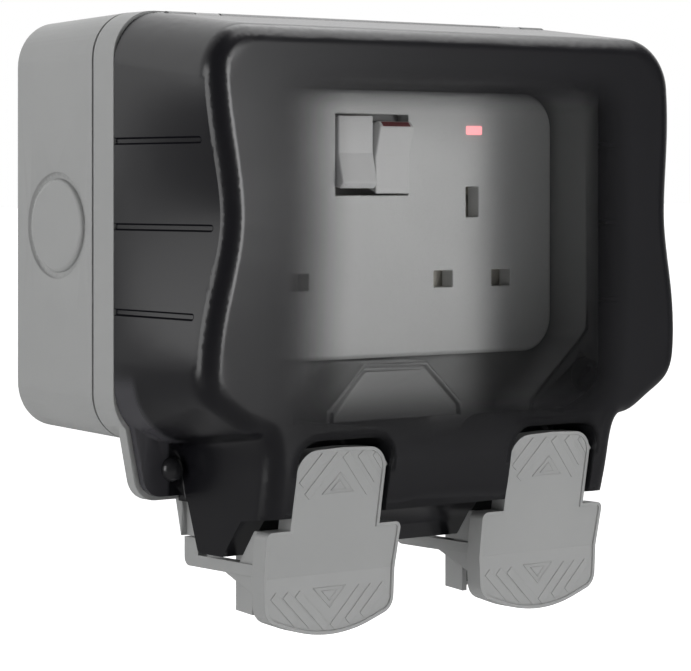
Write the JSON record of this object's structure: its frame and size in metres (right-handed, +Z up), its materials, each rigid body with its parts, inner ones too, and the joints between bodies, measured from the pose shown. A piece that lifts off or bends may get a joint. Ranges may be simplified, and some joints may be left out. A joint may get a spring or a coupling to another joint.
{
  "type": "weatherproof switched socket",
  "caption": "Surface-mounted outdoor socket with a deep grey back box, rocker switches under a smoked lid hinged at the top, and paddle latches with cable outlets below.",
  "frame": {"origin": "centre of the back box's rear face, on the wall", "axes": "+Y into the wall, +X to the right seen from the front, +Z up"},
  "size_m": [0.1708, 0.0956, 0.1671],
  "materials": {
    "grey_plastic": "fine satin moulding",
    "smoked_plastic": "smoked see-through polycarbonate",
    "black_rubber": "matt rubber",
    "screw_plastic": "satin",
    "white_plastic": "smooth light grey moulding",
    "cream_plastic": "plain moulding",
    "flash_red": "red print",
    "neon_red": "lit indicator window",
    "neon_dark": "unlit indicator window",
    "lamp_glass": "clear glass",
    "brass": "stamped strip",
    "steel": "zinc plated",
    "black_plug": "glossy"
  },
  "bodies": {
    "housing": {"back_box": "grey_plastic", "box_seal": "black_rubber", "frame": "grey_plastic", "frame_screws": "screw_plastic", "lid_seal": "black_rubber", "grommet_left": "black_rubber", "grommet_right": "black_rubber", "fascia": "white_plastic", "insert_body": "cream_plastic", "insert_screws": "steel", "neon_lens_left": "neon_dark", "neon_lens_right": "neon_red", "neon_lamp_left": "lamp_glass", "neon_lamp_right": "lamp_glass", "earth_bar": "brass", "neutral_bar": "brass", "live_feed_bar": "brass", "live_clip_left": "brass", "live_clip_right": "brass", "terminal_screws": "steel", "rocker_pin": "steel", "hinge_pin_left": "steel", "hinge_pin_right": "steel"},
    "lid": {"lid": "smoked_plastic", "lock_plug_left": "black_plug", "lock_plug_right": "black_plug", "latch_pin_left": "steel", "latch_pin_right": "steel"},
    "latch_left": {"latch_left": "grey_plastic"},
    "rocker_left": {"rocker_left": "white_plastic", "rocker_flash_left": "flash_red"},
    "contact_left": {"moving_contact_left": "brass"},
    "shutter_left": {"shutter_left": "cream_plastic"},
    "latch_right": {"latch_right": "grey_plastic"},
    "rocker_right": {"rocker_right": "white_plastic", "rocker_flash_right": "flash_red"},
    "contact_right": {"moving_contact_right": "brass"},
    "shutter_right": {"shutter_right": "cream_plastic"}
  },
  "joints": [
    {"name": "lid_hinge", "type": "hinge", "parent": "housing", "child": "lid", "pos_m": [0, -0.0516, 0.0556], "axis": [-1, 0, 0], "range_deg": [0, 92]},
    {"name": "latch_left_pivot", "type": "hinge", "parent": "lid", "child": "latch_left", "pos_m": [-0.0375, -0.08, -0.0725], "axis": [-1, 0, 0], "range_deg": [0, 14]},
    {"name": "latch_right_pivot", "type": "hinge", "parent": "lid", "child": "latch_right", "pos_m": [0.0375, -0.08, -0.0725], "axis": [-1, 0, 0], "range_deg": [0, 14]},
    {"name": "rocker_left_tilt", "type": "hinge", "parent": "housing", "child": "rocker_left", "pos_m": [-0.0067, -0.0534, 0.01965], "axis": [1, 0, 0], "range_deg": [0, 14]},
    {"name": "rocker_right_tilt", "type": "hinge", "parent": "housing", "child": "rocker_right", "pos_m": [0.0067, -0.0534, 0.01965], "axis": [1, 0, 0], "range_deg": [-14, 0]},
    {"name": "contact_left_tilt", "type": "hinge", "parent": "housing", "child": "contact_left", "pos_m": [-0.0067, -0.0436, 0.01965], "axis": [1, 0, 0], "range_deg": [-11.5, 0]},
    {"name": "contact_right_tilt", "type": "hinge", "parent": "housing", "child": "contact_right", "pos_m": [0.0067, -0.0436, 0.01965], "axis": [1, 0, 0], "range_deg": [0, 11.5]},
    {"name": "shutter_left_slide", "type": "slide", "parent": "housing", "child": "shutter_left", "axis": [0, 0, -1], "range_m": [0, 0.0056], "stiffness_N_per_m": 60, "springref_m": -0.003},
    {"name": "shutter_right_slide", "type": "slide", "parent": "housing", "child": "shutter_right", "axis": [0, 0, -1], "range_m": [0, 0.0056], "stiffness_N_per_m": 60, "springref_m": -0.003}
  ],
  "couplings": [
    {"joint": "contact_left_tilt", "follows": "rocker_left_tilt", "ratio": -0.8},
    {"joint": "contact_right_tilt", "follows": "rocker_right_tilt", "ratio": -0.8}
  ]
}
